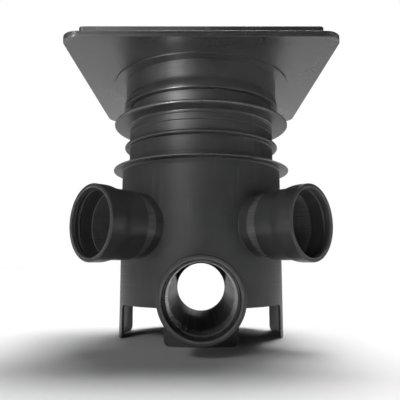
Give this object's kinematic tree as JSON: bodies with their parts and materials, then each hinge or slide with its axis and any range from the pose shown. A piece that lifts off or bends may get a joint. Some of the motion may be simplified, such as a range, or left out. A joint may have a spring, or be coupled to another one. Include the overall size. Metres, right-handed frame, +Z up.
{
  "type": "drain inspection chamber",
  "caption": "Round plastic drain inspection chamber on curved legs, with a straight main run, angled side inlets, push-fit sockets and a telescopic square frame and cover.",
  "frame": {"origin": "on the bed, on the upright axis of the shaft, at the middle of the round pad under the channel", "axes": "+Z up the shaft; the main run lies along Y with its inlet towards -Y; +X to the right when the main inlet is seen from outside"},
  "size_m": [0.4524, 0.4902, 0.5207],
  "materials": {
    "moulded_body": "satin moulded polypropylene, near black",
    "moulded_frame": "fine-grained moulded polypropylene, near black",
    "moulded_cover": "fine-grained moulded polypropylene, near black",
    "seal_rubber": "smooth black rubber",
    "screw_steel": "bright stainless steel",
    "insert_brass": "turned brass"
  },
  "bodies": {
    "chamber": {"chamber_base": "moulded_body", "main_inlet_socket": "moulded_body", "main_inlet_seal": "seal_rubber", "outlet_socket": "moulded_body", "outlet_seal": "seal_rubber", "side_inlet_left_socket": "moulded_body", "side_inlet_left_seal": "seal_rubber", "side_inlet_right_socket": "moulded_body", "side_inlet_right_seal": "seal_rubber", "riser": "moulded_body", "riser_seal": "seal_rubber"},
    "wiper": {"frame_seal": "seal_rubber"},
    "frame": {"frame": "moulded_frame", "cover": "moulded_cover", "cover_gasket": "seal_rubber", "cover_screw_1": "screw_steel", "cover_screw_2": "screw_steel", "cover_screw_3": "screw_steel", "cover_screw_4": "screw_steel", "cover_insert_1": "insert_brass", "cover_insert_2": "insert_brass", "cover_insert_3": "insert_brass", "cover_insert_4": "insert_brass"}
  },
  "joints": [
    {"name": "frame_height", "type": "slide", "parent": "chamber", "child": "wiper", "axis": [0, 0, 1], "range_m": [-0.026, 0.026]},
    {"name": "frame_turn", "type": "hinge", "parent": "wiper", "child": "frame", "pos_m": [0, 0, 0.45], "axis": [0, 0, 1], "continuous": true}
  ]
}
